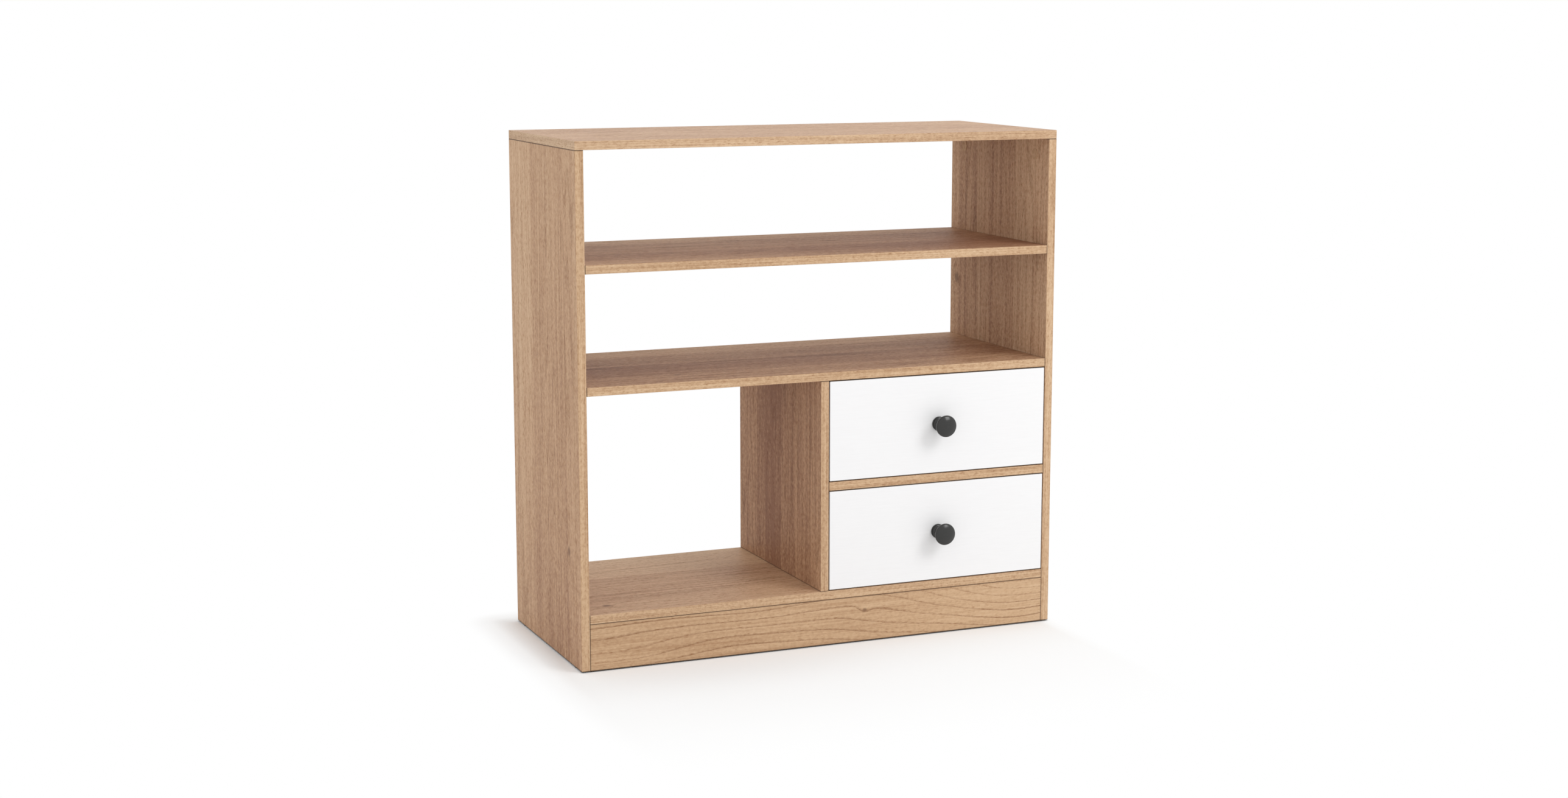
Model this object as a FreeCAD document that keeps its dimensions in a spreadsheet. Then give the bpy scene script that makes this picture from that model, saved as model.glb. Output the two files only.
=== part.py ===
import FreeCAD
import Part
import Sketcher
import os
import re

# An open-backed bookcase with two drawers at its lower right, in millimetres.
# +X is to the right, +Y to the back and +Z up. The origin lies on the floor, under the middle of the outline.

# Driving dimensions

SIZES = {
    # Carcass
    "overall_width": 900,
    "overall_height": 900,
    "carcass_depth": 380,
    "board": 15,
    "edge_round": 0.7,
    "upper_bay_height": 190,
    "second_bay_height": 190,
    "plinth_height": 82,
    "rail_depth": 70,
    # Foot glides
    "glide_diameter": 14,
    "glide_height": 2,
    "glide_from_edge": 40,
    "nail_diameter": 2,
    "nail_length": 12,
    # Back panel of the drawer bay
    "back_thickness": 3,
    "back_inset": 12,
    "back_groove": 6,
    "panel_clearance": 0.2,
    # Cams, bolts and dowels of the carcass
    "cam_diameter": 15,
    "cam_depth": 12.5,
    "cam_inset": 30,
    "cam_from_edge": 52,
    "bolt_hole": 8,
    "bolt_collar": 3,
    "bolt_shank": 4,
    "bolt_head": 6.5,
    "bolt_head_length": 3,
    "bolt_thread": 6,
    "bolt_thread_length": 11,
    "dowel_diameter": 8,
    "dowel_length": 30,
    "dowel_in_face": 10,
    "dowel_from_edge": 116,
    "fit_clearance": 0.1,
    "driver_slot_length": 8,
    "driver_slot_width": 1.4,
    "driver_slot_depth": 2.5,
    "cover_diameter": 20,
    "cover_thickness": 0.6,
    "rail_cam_from_front": 46,
    "rail_dowel_from_front": 20,
    "plinth_cam_rise": 50,
    "plinth_dowel_rise": 20,
    "divider_screw_diameter": 5,
    "divider_screw_length": 50,
    "divider_screw_head": 9,
    "divider_screw_head_height": 3.5,
    # Drawers
    "drawer_reveal": 2,
    "drawer_board": 12,
    "drawer_head_room": 40,
    "drawer_back_room": 40,
    "bottom_thickness": 3,
    "bottom_rise": 8,
    "bottom_groove": 5,
    "small_cam_diameter": 12,
    "small_cam_depth": 9.5,
    "small_cam_inset": 24,
    "small_bolt_hole": 6,
    "small_bolt_collar": 2.5,
    "small_bolt_shank": 3,
    "small_bolt_head": 5,
    "small_bolt_head_length": 2.4,
    "small_bolt_thread": 5,
    "small_bolt_thread_length": 10,
    "small_dowel_diameter": 6,
    "small_cam_drop": 35,
    "small_dowel_rise": 50,
    "back_screw_diameter": 4,
    "back_screw_length": 35,
    "back_screw_head": 7,
    "back_screw_head_height": 2.5,
    "back_screw_from_edge": 30,
    # Roller runners
    "runner_gap": 12.5,
    "runner_steel": 1.2,
    "runner_rise": 14,
    "runner_setback": 2,
    "runner_back_room": 10,
    "channel_height": 24,
    "web_clearance": 1.3,
    "lip_drop": 4,
    "lip_width": 10,
    "roller_clearance": 0.3,
    "roller_end_gap": 1,
    "head_clearance": 0.6,
    "axle_diameter": 5,
    "axle_clearance": 0.08,
    "axle_head": 8,
    "axle_head_height": 0.8,
    "runner_screw_diameter": 3.5,
    "runner_screw_length": 9,
    "runner_screw_head": 6.5,
    "runner_screw_head_height": 1.4,
    "runner_screw_from_end": 40,
    # Knobs
    "knob_diameter": 39,
    "knob_base_diameter": 26,
    "knob_base_height": 3,
    "knob_neck_diameter": 17,
    "knob_dome_height": 8,
    "knob_corner_round": 4,
    "knob_rim_round": 5,
    "knob_projection": 38,
    "knob_screw_diameter": 4,
    "knob_screw_depth": 14,
    "knob_screw_head": 8,
    "knob_screw_head_height": 2.5,
}

# Places and sizes that follow from them

LAYOUT = {
    "inner_width": "overall_width - 2 * board",
    "front_y": "(knob_projection - carcass_depth) / 2",
    "back_y": "front_y + carcass_depth",
    "left_x": "-overall_width / 2",
    "left_inner": "left_x + board",
    "right_inner": "left_inner + inner_width",
    "top_z": "overall_height - board",
    "upper_shelf_z": "top_z - upper_bay_height - board",
    "middle_shelf_z": "upper_shelf_z - second_bay_height - board",
    "bottom_shelf_z": "glide_height + plinth_height",
    "bay_floor": "bottom_shelf_z + board",
    "bay_height": "middle_shelf_z - bay_floor",
    "bay_left": "board / 2",
    "bay_width": "right_inner - bay_left",
    "opening_height": "(bay_height - board) / 2",
    "rail_z": "bay_floor + opening_height",
    "upper_floor": "rail_z + board",
    "back_panel_y": "back_y - back_inset - back_thickness",
    "box_left": "bay_left + runner_gap",
    "box_width": "bay_width - 2 * runner_gap",
    "box_right": "box_left + box_width",
    "box_front": "front_y + board",
    "box_back": "back_panel_y - drawer_back_room",
    "box_length": "box_back - box_front",
    "box_rise": "runner_rise - lip_drop",
    "wall_height": "opening_height - box_rise - drawer_head_room",
    "box_inner_left": "box_left + drawer_board",
    "box_inner_right": "box_right - drawer_board",
    "knob_x": "bay_left + bay_width / 2",
    "knob_rise": "opening_height / 2",
    "runner_length": "box_length - runner_back_room",
    "channel_y": "box_front + runner_setback",
    "channel_width": "runner_gap - runner_steel - web_clearance",
    "roller_diameter": "channel_height - 2 * runner_steel - 2 * roller_clearance",
    "roller_stand_off": "runner_steel + runner_screw_head_height + head_clearance",
    "roller_width": "runner_gap - 2 * roller_stand_off",
    "roller_end": "roller_end_gap + roller_diameter / 2",
    "flange_top": "channel_height - runner_steel - roller_clearance",
    "front_axle_rise": "flange_top - runner_steel - roller_clearance - roller_diameter / 2",
    "rear_axle_rise": "runner_steel + roller_clearance + roller_diameter / 2",
    "rail_drop": "lip_drop + runner_steel",
    "knob_flare": "(knob_base_diameter - knob_neck_diameter) / 2",
    "knob_rim": "knob_projection - knob_dome_height",
    "knob_head_start": "knob_rim - knob_rim_round",
    "knob_corner_x": "knob_diameter / 2 - knob_corner_round",
    "knob_dome_rise": "2 * (knob_dome_height - knob_corner_round)",
    "knob_dome_round": "(knob_corner_x ^ 2 + knob_dome_height ^ 2 - knob_corner_round ^ 2) / knob_dome_rise",
    "knob_join_share": "knob_dome_round / (knob_dome_round - knob_corner_round)",
    "knob_join_x": "knob_corner_x * knob_join_share",
    "knob_dome_centre": "knob_projection - knob_dome_round",
    "knob_join_y": "knob_dome_centre + (knob_rim - knob_dome_centre) * knob_join_share",
}

doc = FreeCAD.newDocument("bookcase")
V = FreeCAD.Vector
boards = []
subparts = []


def formula(text):
    """Write plain names as references to the sheet that holds them."""
    def reference(match):
        word = match.group()
        if word in SIZES:
            return "Sizes." + word
        if word in LAYOUT:
            return "Layout." + word
        return word
    return re.sub(r"[a-z_]+", reference, text)


def fill_sheet(name, rows):
    sheet = doc.addObject("Spreadsheet::Sheet", name)
    for row, (alias, content) in enumerate(rows.items(), 1):
        sheet.set(f"A{row}", alias)
        sheet.setAlias(f"B{row}", alias)
        sheet.set(f"B{row}", content)
    doc.recompute()
    return sheet


sizes = fill_sheet("Sizes", {alias: str(number) for alias, number in SIZES.items()})
fill_sheet("Layout", {alias: "=" + formula(text).replace("Layout.", "") for alias, text in LAYOUT.items()})


def value(text):
    return float(sizes.evalExpression(formula(text)))


# Sketch and feature helpers

FACE_PAIRS = (("left", "right"), ("front", "back"), ("bottom", "top"))
PLANE_ROLE = ("YZ_Plane", "XZ_Plane", "XY_Plane")
PLANE_AXES = ((1, 2), (0, 2), (0, 1))
# The normal of the XZ plane points to the front, against +Y.
PLANE_SIGN = (1, -1, 1)


def face_axis(face):
    """The axis that a face looks along: 0 for X, 1 for Y and 2 for Z."""
    return next(axis for axis, pair in enumerate(FACE_PAIRS) if face in pair)


def face_sign(face):
    """1 for a face that looks along its axis, and -1 for one that looks against it."""
    return 1 if face == FACE_PAIRS[face_axis(face)][1] else -1


def opposite(face):
    low, high = FACE_PAIRS[face_axis(face)]
    return low if face == high else high


def normal_of(face):
    numbers = [0, 0, 0]
    numbers[face_axis(face)] = face_sign(face)
    return V(*numbers)


def shifted(text, face, distance):
    """A coordinate moved by a distance along the outward direction of a face."""
    sign = "+" if face_sign(face) > 0 else "-"
    return f"{text} {sign} ({distance})"


def set_place(item, place):
    for axis, text in zip("xyz", place):
        item.setExpression(f"Placement.Base.{axis}", formula(text))


def new_body(label, place):
    body = doc.addObject("PartDesign::Body", label)
    body.Label = label
    set_place(body, place)
    return body


def new_sketch(body, name, axis, offset="0", turned=False):
    """A sketch on the body's origin plane across an axis; turned faces the other way, with its x reversed."""
    sketch = body.newObject("Sketcher::SketchObject", name)
    plane = next(item for item in body.Origin.OriginFeatures if item.Role == PLANE_ROLE[axis])
    sketch.AttachmentSupport = [(plane, "")]
    sketch.MapMode = "FlatFace"
    if turned:
        sketch.AttachmentOffset = FreeCAD.Placement(V(0, 0, 0), FreeCAD.Rotation(V(0, 1, 0), 180))
    if offset != "0":
        sign = "" if PLANE_SIGN[axis] > 0 else "-"
        sketch.setExpression("AttachmentOffset.Base.z", formula(f"{sign}({offset})"))
    return sketch


def bind(sketch, constraint, text):
    constraint.Name = f"size_{sketch.ConstraintCount}"
    sketch.addConstraint(constraint)
    sketch.setExpression(f"Constraints.{constraint.Name}", formula(text))


def fix_point(sketch, geometry, point, place):
    """Hold one point of a sketch at (u, v) from the sketch's origin."""
    for kind, text, axis in zip(("DistanceX", "DistanceY"), place, (-2, -1)):
        if text == "0":
            sketch.addConstraint(Sketcher.Constraint("PointOnObject", geometry, point, axis))
        else:
            bind(sketch, Sketcher.Constraint(kind, -1, 1, geometry, point, value(text)), text)


def add_circle(sketch, place, diameter):
    centre = V(value(place[0]), value(place[1]), 0)
    geometry = sketch.addGeometry(Part.Circle(centre, V(0, 0, 1), value(diameter) / 2), False)
    fix_point(sketch, geometry, 3, place)
    bind(sketch, Sketcher.Constraint("Diameter", geometry, value(diameter)), diameter)


def add_outline(sketch, corners, arcs=None):
    """A closed outline through corners; arcs gives, by corner, the radius and side of the edge after it.

    Side +1 puts the arc's middle to the left of the way from corner to corner, -1 to the right.
    """
    arcs = arcs or {}
    points = [V(value(u), value(v), 0) for u, v in corners]
    ends = []
    for number, start in enumerate(points):
        stop = points[(number + 1) % len(points)]
        if number not in arcs:
            ends.append((sketch.addGeometry(Part.LineSegment(start, stop), False), 1, 2))
            continue
        radius, side = arcs[number]
        chord = stop - start
        across = V(-chord.y, chord.x, 0).normalize() * side
        reach = value(radius)
        depth = reach - max(reach ** 2 - (chord.Length / 2) ** 2, 0) ** 0.5
        middle = (start + stop) / 2 + across * depth
        edge = Part.Arc(start, middle, stop)
        geometry = sketch.addGeometry(edge, False)
        # An arc always runs against the clock, so the two ends swap where the middle lies to the left.
        first, last = (2, 1) if side > 0 else (1, 2)
        ends.append((geometry, first, last))
        bind(sketch, Sketcher.Constraint("Radius", geometry, reach), radius)
    for number, (geometry, first, last) in enumerate(ends):
        following, start, _ = ends[(number + 1) % len(ends)]
        sketch.addConstraint(Sketcher.Constraint("Coincident", geometry, last, following, start))
        fix_point(sketch, geometry, first, corners[number])


def add_rectangle(sketch, low, size):
    right = f"{low[0]} + {size[0]}"
    upper = f"{low[1]} + {size[1]}"
    add_outline(sketch, [low, (right, low[1]), (right, upper), (low[0], upper)])


def add_feature(body, kind, name, sketch, length, reverse):
    feature = body.newObject(kind, name)
    feature.Profile = sketch
    feature.Reversed = reverse
    feature.setExpression("Length", formula(length))
    return feature


class Board:
    """A flat board with rounded edges; low is its corner nearest the origin's left, front and floor side."""

    def __init__(self, label, low, size, thin):
        self.low = low
        self.size = size
        self.thin = thin
        self.label = label
        self.holes = {}
        self.body = new_body(label, low)
        sketch = new_sketch(self.body, label + "_outline", thin)
        u, v = PLANE_AXES[thin]
        add_rectangle(sketch, ("0", "0"), (size[u], size[v]))
        backwards = PLANE_SIGN[thin] < 0
        panel = add_feature(self.body, "PartDesign::Pad", label + "_panel", sketch, size[thin], backwards)
        rounding = self.body.newObject("PartDesign::Fillet", label + "_rounding")
        rounding.Base = (panel, [""])
        rounding.UseAllEdges = True
        rounding.setExpression("Radius", formula("edge_round"))
        boards.append(self)
        subparts.append(self.body)

    def face_at(self, face):
        """The coordinate of a face along its own axis."""
        axis = face_axis(face)
        if face_sign(face) < 0:
            return self.low[axis]
        return f"{self.low[axis]} + {self.size[axis]}"

    def middle(self):
        """The coordinate of the board's mid plane."""
        return f"{self.low[self.thin]} + ({self.size[self.thin]}) / 2"

    def cut_sketch(self, face, name):
        axis = face_axis(face)
        offset = self.size[axis] if face_sign(face) > 0 else "0"
        return new_sketch(self.body, f"{self.label}_{name}", axis, offset)

    def in_plane(self, face, place):
        """A point of the whole model, as (u, v) from this board's corner in the plane of a face."""
        return tuple(f"({place[axis]}) - ({self.low[axis]})" for axis in PLANE_AXES[face_axis(face)])

    def cut(self, face, name, sketch, depth):
        reverse = face_sign(face) != PLANE_SIGN[face_axis(face)]
        add_feature(self.body, "PartDesign::Pocket", f"{self.label}_{name}_cut", sketch, depth, reverse)

    def drill(self, face, places, diameter, depth):
        """Note holes at points of the whole model, to be drilled once every joint is known."""
        self.holes.setdefault((face, diameter, depth), []).extend(places)

    def drill_all(self):
        """Drill all holes of one face, diameter and depth in one go."""
        for number, ((face, diameter, depth), places) in enumerate(self.holes.items(), 1):
            name = f"holes_{number}"
            sketch = self.cut_sketch(face, name)
            for place in places:
                add_circle(sketch, self.in_plane(face, place), diameter)
            self.cut(face, name, sketch, depth)

    def groove(self, face, name, low, high, depth):
        """A straight groove between two corners of the whole model, given in the plane of a face."""
        sketch = self.cut_sketch(face, name)
        u, v = PLANE_AXES[face_axis(face)]
        start = self.in_plane(face, low)
        size = tuple(f"({high[axis]}) - ({low[axis]})" for axis in (u, v))
        add_rectangle(sketch, start, size)
        self.cut(face, name, sketch, depth)


# Fastener patterns, copied to every place that needs one

def turned_pin(label, steps):
    """A stepped round pin from its tip at the origin along +Z; each step is a length and a diameter."""
    cylinders = []
    start = "0"
    for number, (length, diameter) in enumerate(steps, 1):
        cylinder = doc.addObject("Part::Cylinder", f"{label}_step_{number}")
        cylinder.setExpression("Height", formula(length))
        cylinder.setExpression("Radius", formula(f"({diameter}) / 2"))
        cylinder.setExpression("Placement.Base.z", formula(start))
        start = f"{start} + {length}"
        cylinders.append(cylinder)
    if len(cylinders) == 1:
        return cylinders[0]
    pin = doc.addObject("Part::MultiFuse", label)
    pin.Shapes = cylinders
    return pin


class CamKit:
    """The cam, bolt and dowel used for one board thickness; prefix picks the sizes."""

    def __init__(self, prefix, thickness):
        self.cam_diameter = prefix + "cam_diameter"
        self.cam_depth = prefix + "cam_depth"
        self.inset = prefix + "cam_inset"
        self.bolt_hole = prefix + "bolt_hole"
        self.thread = prefix + "bolt_thread"
        self.thread_length = prefix + "bolt_thread_length"
        self.dowel_diameter = prefix + "dowel_diameter"
        self.cam = self.make_cam(prefix, thickness)
        self.bolt = self.make_bolt(prefix)
        dowel_fit = self.dowel_diameter + " - 2 * fit_clearance"
        self.dowel = turned_pin(prefix + "dowel", [("dowel_length", dowel_fit)])

    def make_cam(self, prefix, thickness):
        """The visible face lies at z = 0 and the bolt comes in along +X."""
        body = new_body(prefix + "cam", ("0", "0", "0"))
        disc = new_sketch(body, prefix + "cam_disc", 2)
        add_circle(disc, ("0", "0"), self.cam_diameter + " - 2 * fit_clearance")
        add_feature(body, "PartDesign::Pad", prefix + "cam_disc_pad", disc, self.cam_depth, False)
        way = new_sketch(body, prefix + "cam_bolt_way", 0, self.cam_diameter + " / 2")
        add_circle(way, ("0", thickness + " / 2"), prefix + "bolt_head + 2 * fit_clearance")
        reach = f"{self.cam_diameter} / 2 + {prefix}bolt_head_length / 2 + fit_clearance"
        add_feature(body, "PartDesign::Pocket", prefix + "cam_bolt_way_cut", way, reach, False)
        for axis in (0, 1):
            slot = new_sketch(body, f"{prefix}cam_driver_slot_{axis}", 2)
            self.add_slot(slot, axis)
            cut = add_feature(body, "PartDesign::Pocket", slot.Name + "_cut", slot, "driver_slot_depth", True)
        body.Tip = cut
        return body

    def add_slot(self, sketch, axis):
        """A driver slot centred on the origin, long in x for axis 0 and in y for axis 1."""
        lengths = ("driver_slot_length", "driver_slot_width")
        wide, high = lengths if axis == 0 else reversed(lengths)
        half_x = value(wide) / 2
        half_y = value(high) / 2
        corners = [V(-half_x, -half_y, 0), V(half_x, -half_y, 0), V(half_x, half_y, 0), V(-half_x, half_y, 0)]
        for number, kind in enumerate(("Horizontal", "Vertical", "Horizontal", "Vertical")):
            sketch.addGeometry(Part.LineSegment(corners[number], corners[(number + 1) % 4]), False)
            sketch.addConstraint(Sketcher.Constraint(kind, number))
        for number in range(4):
            sketch.addConstraint(Sketcher.Constraint("Coincident", number, 2, (number + 1) % 4, 1))
        sketch.addConstraint(Sketcher.Constraint("Symmetric", 0, 1, 2, 1, -1, 1))
        bind(sketch, Sketcher.Constraint("DistanceX", 0, 1, 0, 2, value(wide)), wide)
        bind(sketch, Sketcher.Constraint("DistanceY", 1, 1, 1, 2, value(high)), high)

    def make_bolt(self, prefix):
        """The thread's tip is at the origin and the head at the far end, in the middle of the cam."""
        shank = f"{self.inset} - {prefix}bolt_collar - {prefix}bolt_head_length / 2"
        return turned_pin(prefix + "bolt", [
            (self.thread_length, f"{self.thread} - 2 * fit_clearance"),
            (prefix + "bolt_collar", f"{self.bolt_hole} - 2 * fit_clearance"),
            (shank, prefix + "bolt_shank"),
            (prefix + "bolt_head_length", prefix + "bolt_head"),
        ])


carcass_kit = CamKit("", "board")
drawer_kit = CamKit("small_", "drawer_board")
cam_cover = turned_pin("cover", [("cover_thickness", "cover_diameter")])
foot_glide = turned_pin("glide", [
    ("glide_height", "glide_diameter"),
    ("nail_length", "nail_diameter - 2 * fit_clearance"),
])
divider_screw = turned_pin("divider_screw", [
    ("divider_screw_length - divider_screw_head_height", "divider_screw_diameter - 2 * fit_clearance"),
    ("divider_screw_head_height", "divider_screw_head - 2 * fit_clearance"),
])
back_screw = turned_pin("back_screw", [
    ("back_screw_length - back_screw_head_height", "back_screw_diameter - 2 * fit_clearance"),
    ("back_screw_head_height", "back_screw_head - 2 * fit_clearance"),
])
runner_screw = turned_pin("runner_screw", [
    ("runner_screw_length", "runner_screw_diameter - 2 * fit_clearance"),
    ("runner_screw_head_height", "runner_screw_head"),
])
knob_screw = turned_pin("knob_screw", [
    ("board + knob_screw_depth", "knob_screw_diameter - 2 * fit_clearance"),
    ("knob_screw_head_height", "knob_screw_head"),
])


class Group:
    """Equal fasteners of one body, kept together as one sub-part of separate solids."""

    def __init__(self, label):
        self.label = label
        self.copies = []

    def add(self, pattern, place, rotation):
        copy = doc.addObject("App::Link", f"{self.label}_{len(self.copies) + 1}")
        copy.LinkedObject = pattern
        copy.Placement = FreeCAD.Placement(V(0, 0, 0), rotation)
        set_place(copy, place)
        self.copies.append(copy)

    def add_pin(self, pattern, place, toward):
        """A pin whose tip is at a place and whose head lies towards the given face direction."""
        self.add(pattern, place, FreeCAD.Rotation(V(0, 0, 1), normal_of(toward)))

    def close(self):
        compound = doc.addObject("Part::Compound", self.label)
        compound.Label = self.label
        compound.Links = self.copies
        subparts.append(compound)


class Fixings:
    """The cams, bolts and dowels of one body."""

    def __init__(self, prefix, kit):
        self.kit = kit
        self.cams = Group(prefix + "cams")
        self.bolts = Group(prefix + "cam_bolts")
        self.dowels = Group(prefix + "dowels")

    def pin_points(self, end_board, end_face, spots, reach):
        """Points in the mid plane of a board, a reach beyond its end and at spots along that end."""
        along = face_axis(end_face)
        beside = 3 - along - end_board.thin
        points = []
        for spot in spots:
            point = ["", "", ""]
            point[along] = shifted(end_board.face_at(end_face), end_face, reach)
            point[beside] = spot
            point[end_board.thin] = end_board.middle()
            points.append(tuple(point))
        return points

    def add_dowels(self, end_board, end_face, face_board, spots):
        """Dowel the end of one board to the face of another."""
        facing = opposite(end_face)
        seats = self.pin_points(end_board, end_face, spots, "0")
        depth_in_end = "dowel_length - dowel_in_face + fit_clearance"
        end_board.drill(end_face, seats, self.kit.dowel_diameter, depth_in_end)
        face_board.drill(facing, seats, self.kit.dowel_diameter, "dowel_in_face")
        for tip in self.pin_points(end_board, end_face, spots, "dowel_in_face"):
            self.dowels.add_pin(self.kit.dowel, tip, facing)

    def add_cams(self, end_board, end_face, face_board, cam_face, spots, covers=None):
        """Draw the end of one board to the face of another, with cams in one face of the first."""
        kit = self.kit
        facing = opposite(end_face)
        seats = self.pin_points(end_board, end_face, spots, "0")
        centres = []
        for point in self.pin_points(end_board, end_face, spots, f"-({kit.inset})"):
            centre = list(point)
            centre[end_board.thin] = end_board.face_at(cam_face)
            centres.append(tuple(centre))
        end_board.drill(cam_face, centres, kit.cam_diameter, kit.cam_depth)
        end_board.drill(end_face, seats, kit.bolt_hole, kit.inset)
        face_board.drill(facing, seats, kit.thread, kit.thread_length)
        for tip in self.pin_points(end_board, end_face, spots, kit.thread_length):
            self.bolts.add_pin(kit.bolt, tip, facing)
        inward = normal_of(opposite(cam_face))
        to_bolt = normal_of(end_face)
        cam_turn = FreeCAD.Rotation(to_bolt, inward.cross(to_bolt), inward, "ZXY")
        for centre in centres:
            self.cams.add(kit.cam, centre, cam_turn)
            if covers:
                covers.add_pin(cam_cover, centre, cam_face)

    def close(self):
        self.cams.close()
        self.bolts.close()
        self.dowels.close()


# Carcass boards

full_depth = "carcass_depth"
top_panel = Board("top_panel", ("left_x", "front_y", "top_z"), ("overall_width", full_depth, "board"), 2)
side_size = ("board", full_depth, "top_z - glide_height")
left_side = Board("left_side_panel", ("left_x", "front_y", "glide_height"), side_size, 0)
right_side = Board("right_side_panel", ("right_inner", "front_y", "glide_height"), side_size, 0)
shelf_size = ("inner_width", full_depth, "board")
upper_shelf = Board("upper_shelf", ("left_inner", "front_y", "upper_shelf_z"), shelf_size, 2)
middle_shelf = Board("middle_shelf", ("left_inner", "front_y", "middle_shelf_z"), shelf_size, 2)
bottom_shelf = Board("bottom_shelf", ("left_inner", "front_y", "bottom_shelf_z"), shelf_size, 2)
divider_size = ("board", full_depth, "bay_height")
divider = Board("centre_divider", ("-board / 2", "front_y", "bay_floor"), divider_size, 0)
rail_size = ("bay_width", "rail_depth", "board")
drawer_rail = Board("drawer_rail", ("bay_left", "front_y", "rail_z"), rail_size, 2)
plinth_size = ("inner_width", "board", "plinth_height")
front_plinth = Board("front_plinth", ("left_inner", "front_y", "glide_height"), plinth_size, 1)
rear_plinth = Board("rear_plinth", ("left_inner", "back_y - board", "glide_height"), plinth_size, 1)

# Carcass joints

fixings = Fixings("carcass_", carcass_kit)
covers = Group("cam_covers")
cam_depths = ("front_y + cam_from_edge", "back_y - cam_from_edge")
dowel_depths = ("front_y + dowel_from_edge", "back_y - dowel_from_edge")

for side, cam_face in ((left_side, "right"), (right_side, "left")):
    fixings.add_cams(side, "top", top_panel, cam_face, cam_depths, covers)
    fixings.add_dowels(side, "top", top_panel, dowel_depths)

for shelf in (upper_shelf, middle_shelf, bottom_shelf):
    for end_face, side in (("left", left_side), ("right", right_side)):
        # Covers go only where a cam faces an open bay.
        shown = shelf is upper_shelf or (shelf is middle_shelf and side is left_side)
        fixings.add_cams(shelf, end_face, side, "bottom", cam_depths, covers if shown else None)
        fixings.add_dowels(shelf, end_face, side, dowel_depths)

fixings.add_cams(divider, "top", middle_shelf, "right", cam_depths)
fixings.add_dowels(divider, "top", middle_shelf, dowel_depths)
fixings.add_dowels(divider, "bottom", bottom_shelf, dowel_depths)

for end_face, board in (("left", divider), ("right", right_side)):
    fixings.add_cams(drawer_rail, end_face, board, "bottom", ["front_y + rail_cam_from_front"])
    fixings.add_dowels(drawer_rail, end_face, board, ["front_y + rail_dowel_from_front"])

for plinth, cam_face in ((front_plinth, "back"), (rear_plinth, "front")):
    for end_face, side in (("left", left_side), ("right", right_side)):
        fixings.add_cams(plinth, end_face, side, cam_face, ["glide_height + plinth_cam_rise"])
        fixings.add_dowels(plinth, end_face, side, ["glide_height + plinth_dowel_rise"])

fixings.close()
covers.close()

# Screws up through the bottom shelf into the divider, whose lower end is hidden by a runner

divider_screws = Group("divider_screws")
screw_places = [(divider.middle(), depth, "bottom_shelf_z") for depth in cam_depths]
bottom_shelf.drill("bottom", screw_places, "divider_screw_diameter", "board")
bottom_shelf.drill("bottom", screw_places, "divider_screw_head", "divider_screw_head_height")
divider.drill("bottom", screw_places, "divider_screw_diameter", "divider_screw_length - board")
for x, y, z in screw_places:
    divider_screws.add_pin(divider_screw, (x, y, f"{z} + divider_screw_length"), "bottom")
divider_screws.close()

# Foot glides

glides = Group("foot_glides")
glide_depths = ("front_y + glide_from_edge", "back_y - glide_from_edge")
for side in (left_side, right_side):
    feet = [(side.middle(), depth, "0") for depth in glide_depths]
    side.drill("bottom", feet, "nail_diameter", "nail_length")
    for foot in feet:
        glides.add_pin(foot_glide, foot, "top")
glides.close()

# Back panel of the drawer bay, in grooves all round

groove_front = "back_panel_y - panel_clearance"
groove_back = "back_panel_y + back_thickness + panel_clearance"
groove_low = ("bay_left - back_groove", groove_front, "bay_floor - back_groove")
groove_high = ("right_inner + back_groove", groove_back, "middle_shelf_z + back_groove")
divider.groove("right", "back_groove", ("0", groove_front, "bay_floor"), ("0", groove_back, "middle_shelf_z"),
               "back_groove")
right_side.groove("left", "back_groove", groove_low, groove_high, "back_groove")
for shelf, face in ((middle_shelf, "bottom"), (bottom_shelf, "top")):
    shelf.groove(face, "back_groove", groove_low, ("right_inner", groove_back, "0"), "back_groove")

back_panel = doc.addObject("Part::Box", "drawer_bay_back")
back_panel.Label = "drawer_bay_back"
back_panel.setExpression("Length", formula("bay_width + 2 * back_groove - 2 * panel_clearance"))
back_panel.setExpression("Width", formula("back_thickness"))
back_panel.setExpression("Height", formula("bay_height + 2 * back_groove - panel_clearance"))
set_place(back_panel, ("bay_left - back_groove + panel_clearance", "back_panel_y", "bay_floor - back_groove"))
subparts.append(back_panel)


# Roller runners: hand is +1 for a runner that opens to the right of its wall and -1 for its mirror image

class Runner:
    """One bent steel runner, with a profile in (distance from the wall, height) padded to the back."""

    def __init__(self, label, place, hand, profile):
        self.label = label
        self.hand = hand
        self.body = new_body(label, place)
        sketch = new_sketch(self.body, label + "_profile", 1, turned=hand < 0)
        add_outline(sketch, profile)
        add_feature(self.body, "PartDesign::Pad", label + "_strip", sketch, "runner_length", hand > 0)
        subparts.append(self.body)

    def flange_cut(self, low, size, bottom):
        """Cut a rectangle, given in (distance from the wall, depth), up through the flange above a height."""
        sketch = new_sketch(self.body, self.label + "_flange", 2, turned=self.hand < 0)
        sketch.setExpression("AttachmentOffset.Base.z", formula(bottom))
        add_rectangle(sketch, low, size)
        name = self.label + "_flange_cut"
        add_feature(self.body, "PartDesign::Pocket", name, sketch, "runner_steel", self.hand > 0)

    def stud(self, name, spot, diameter, start, length):
        """A round stud at (depth, height), from one distance from the wall outwards by a length."""
        offset = start if self.hand > 0 else f"-({start})"
        sketch = new_sketch(self.body, f"{self.label}_{name}", 0, offset)
        add_circle(sketch, spot, diameter)
        add_feature(self.body, "PartDesign::Pad", f"{self.label}_{name}_stud", sketch, length, self.hand < 0)

    def screw_holes(self, spots, start):
        offset = start if self.hand > 0 else f"-({start})"
        sketch = new_sketch(self.body, self.label + "_screws", 0, offset)
        for spot in spots:
            add_circle(sketch, spot, "runner_screw_diameter")
        name = self.label + "_screws_cut"
        add_feature(self.body, "PartDesign::Pocket", name, sketch, "runner_steel", self.hand > 0)


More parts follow.
